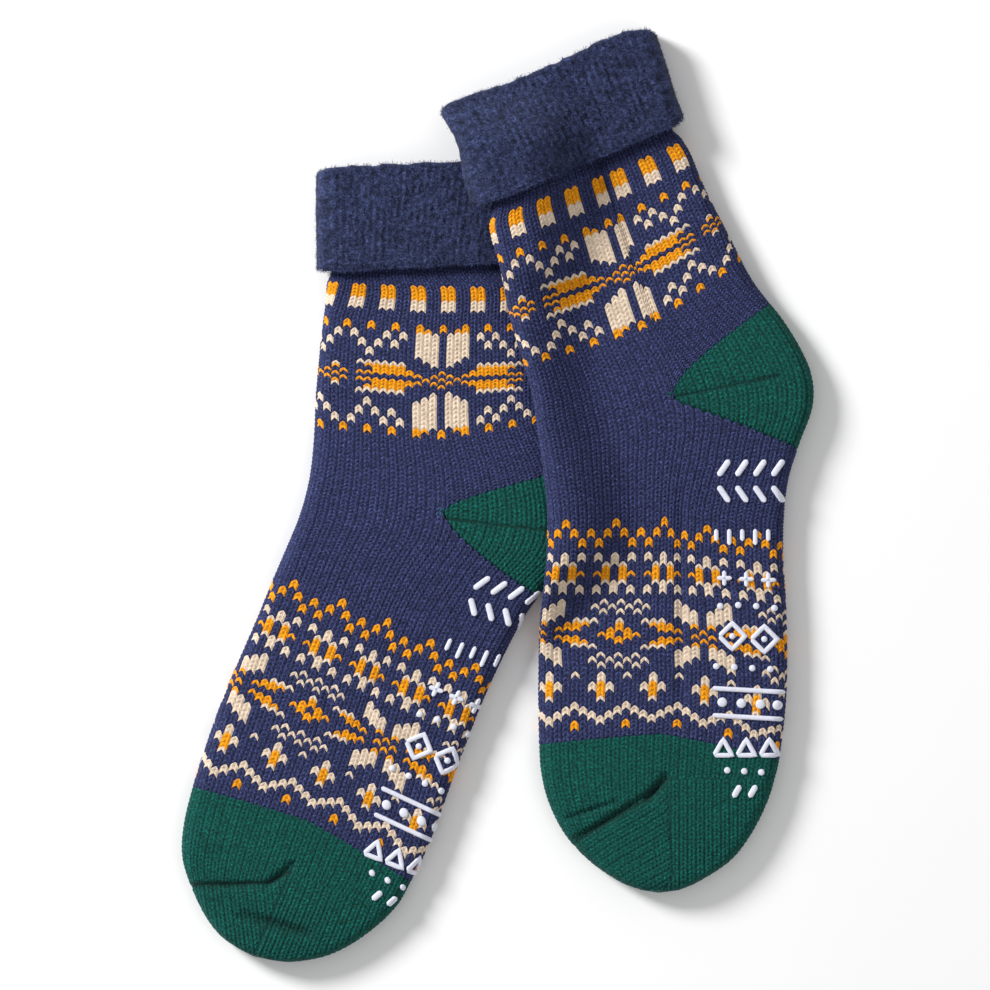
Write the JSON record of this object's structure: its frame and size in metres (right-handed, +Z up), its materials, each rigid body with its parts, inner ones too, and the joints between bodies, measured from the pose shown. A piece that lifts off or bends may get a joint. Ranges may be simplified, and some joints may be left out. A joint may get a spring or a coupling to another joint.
{
  "type": "pair of knitted house socks",
  "caption": "Pair of thick knitted house socks lying flat, one over the other, with patterned legs and feet, contrasting heels and toes, fuzzy turned-down cuffs and a grip print at the sole.",
  "frame": {"origin": "Middle of the base of the pair's box, on the surface that the socks lie on.", "axes": "+X runs to the right and +Y towards the cuffs as seen from above, so the toes point to -Y; +Z points up out of the surface. The right sock, as seen from above, lies over the left one."},
  "size_m": [0.2648, 0.3906, 0.0354],
  "materials": {
    "navy_pile": "heathered denim blue, brushed to a fuzzy pile, softly ribbed",
    "navy_knit": "heathered navy stocking stitch in thick yarn, patterned in mustard orange and cream",
    "green_knit": "bottle green stocking stitch in thick yarn"
  },
  "bodies": {
    "root": {"left_cuff": "navy_pile", "left_leg_and_foot": "navy_knit", "left_heel": "green_knit", "left_toe": "green_knit", "right_cuff": "navy_pile", "right_leg_and_foot": "navy_knit", "right_heel": "green_knit", "right_toe": "green_knit"}
  },
  "joints": []
}
